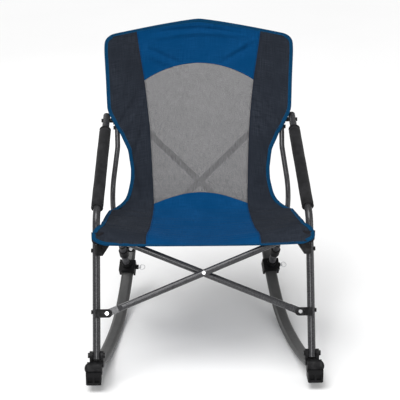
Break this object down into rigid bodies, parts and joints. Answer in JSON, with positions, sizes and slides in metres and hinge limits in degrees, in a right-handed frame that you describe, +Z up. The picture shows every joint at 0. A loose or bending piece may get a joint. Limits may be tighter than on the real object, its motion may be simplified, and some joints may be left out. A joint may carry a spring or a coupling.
{
  "type": "camp rocking chair",
  "caption": "Folding camp chair on two curved rocker rails, with crossed tube frames front and rear, foam-covered arms and a fabric sling with a mesh back.",
  "frame": {"origin": "on the floor, under the middle of the chair's bounding box", "axes": "+Z up, +Y to the back, +X to the sitter's left"},
  "size_m": [0.678, 0.7318, 0.9134],
  "materials": {
    "frame_coat": "dark grey satin powder coat",
    "rail_coat": "dark grey satin powder coat",
    "foam": "closed-cell foam, matt",
    "plug_plastic": "moulded, matt",
    "ferrule_plastic": "moulded, satin",
    "bracket_plastic": "moulded, fine texture",
    "pad_rubber": "matt rubber",
    "zinc": "bright zinc plate",
    "black_steel": "black oxide",
    "blue_fabric": "600-denier plain weave",
    "charcoal_fabric": "600-denier plain weave",
    "mesh": "open woven mesh",
    "binding_tape": "folded binding tape",
    "webbing": "woven webbing",
    "pocket_fabric": "plain weave"
  },
  "bodies": {
    "left_frame": {"leg_arm_tube_left": "frame_coat", "arm_foam_left": "foam", "arm_plug_left": "plug_plastic", "back_upright_left": "frame_coat", "rear_leg_left": "frame_coat", "rear_ferrule_left": "ferrule_plastic", "front_lower_bracket_left": "bracket_plastic", "front_cradle_left": "bracket_plastic", "rear_lower_bracket_left": "bracket_plastic", "rear_upper_bracket_left": "bracket_plastic", "frame_bolts_left": "black_steel", "pivot_rivets_left": "zinc", "seat_strap_left": "webbing", "upright_sleeve_left": "pocket_fabric", "corner_pocket_left": "pocket_fabric", "rear_collar_left": "bracket_plastic", "top_panel": "blue_fabric", "mesh_panel": "mesh", "seat_panel": "blue_fabric", "side_panel_left": "charcoal_fabric", "side_panel_right": "charcoal_fabric", "binding": "binding_tape"},
    "right_frame": {"leg_arm_tube_right": "frame_coat", "arm_foam_right": "foam", "arm_plug_right": "plug_plastic", "back_upright_right": "frame_coat", "rear_leg_right": "frame_coat", "rear_ferrule_right": "ferrule_plastic", "front_lower_bracket_right": "bracket_plastic", "front_cradle_right": "bracket_plastic", "rear_lower_bracket_right": "bracket_plastic", "rear_upper_bracket_right": "bracket_plastic", "frame_bolts_right": "black_steel", "pivot_rivets_right": "zinc", "seat_strap_right": "webbing", "upright_sleeve_right": "pocket_fabric", "corner_pocket_right": "pocket_fabric", "rear_collar_right": "bracket_plastic"},
    "bar_a": {"front_bar_a": "frame_coat", "front_bar_pin_a": "zinc", "front_crossing_rivet": "zinc"},
    "bar_b": {"front_bar_b": "frame_coat", "front_bar_pin_b": "zinc"},
    "bar_c": {"rear_bar_c": "frame_coat", "rear_crossing_rivet": "zinc"},
    "bar_d": {"rear_bar_d": "frame_coat"},
    "left_rail": {"rocker_rail_left": "rail_coat", "foot_block_left": "bracket_plastic", "foot_pin_left": "black_steel", "foot_pad_left": "pad_rubber", "tail_plug_left": "plug_plastic"},
    "left_lock": {"lock_plunger_left": "zinc", "pull_ring_left": "zinc"},
    "right_rail": {"rocker_rail_right": "rail_coat", "foot_block_right": "bracket_plastic", "foot_pin_right": "black_steel", "foot_pad_right": "pad_rubber", "tail_plug_right": "plug_plastic"},
    "right_lock": {"lock_plunger_right": "zinc", "pull_ring_right": "zinc"}
  },
  "joints": [
    {"name": "fold", "type": "hinge", "parent": "left_frame", "child": "bar_a", "pos_m": [-0.2746, -0.28591, 0.20867], "axis": [0, -0.9063, 0.4226], "range_deg": [0, 50], "deforming": ["top_panel", "mesh_panel", "seat_panel", "side_panel_left", "side_panel_right", "binding"]},
    {"name": "front_cross", "type": "hinge", "parent": "bar_a", "child": "bar_b", "pos_m": [0, -0.22974, 0.30573], "axis": [0, -0.9063, 0.4226], "range_deg": [-100.2, 0]},
    {"name": "right_foot_of_bar", "type": "hinge", "parent": "bar_b", "child": "right_frame", "pos_m": [0.2746, -0.26797, 0.20031], "axis": [0, -0.9063, 0.4226], "range_deg": [0, 50.1]},
    {"name": "rear_bar_left", "type": "hinge", "parent": "left_frame", "child": "bar_c", "pos_m": [-0.222, 0.26154, 0.18393], "axis": [0, -0.9956, 0.0941], "range_deg": [0, 38.43]},
    {"name": "rear_bar_right", "type": "hinge", "parent": "right_frame", "child": "bar_d", "pos_m": [0.222, 0.28126, 0.18207], "axis": [0, -0.9956, 0.0941], "range_deg": [-38.43, 0]},
    {"name": "left_rail_fold", "type": "hinge", "parent": "left_frame", "child": "left_rail", "pos_m": [-0.3045, -0.3266, 0.098], "axis": [-1, 0, 0], "range_deg": [0, 95]},
    {"name": "right_rail_fold", "type": "hinge", "parent": "right_frame", "child": "right_rail", "pos_m": [0.3045, -0.3266, 0.098], "axis": [-1, 0, 0], "range_deg": [0, 95]},
    {"name": "left_lock_pull", "type": "slide", "parent": "left_frame", "child": "left_lock", "axis": [0.9923, -0.1236, 0], "range_m": [0, 0.008], "stiffness_N_per_m": 300, "springref_m": -0.004},
    {"name": "right_lock_pull", "type": "slide", "parent": "right_frame", "child": "right_lock", "axis": [0.9923, 0.1236, 0], "range_m": [0, 0.008], "stiffness_N_per_m": 300, "springref_m": -0.004}
  ],
  "couplings": [
    {"joint": "front_cross", "follows": "fold", "ratio": -2},
    {"joint": "right_foot_of_bar", "follows": "fold", "ratio": 1},
    {"joint": "rear_bar_left", "follows": "fold", "ratio": 0.7665},
    {"joint": "rear_bar_right", "follows": "fold", "ratio": -0.7665}
  ]
}
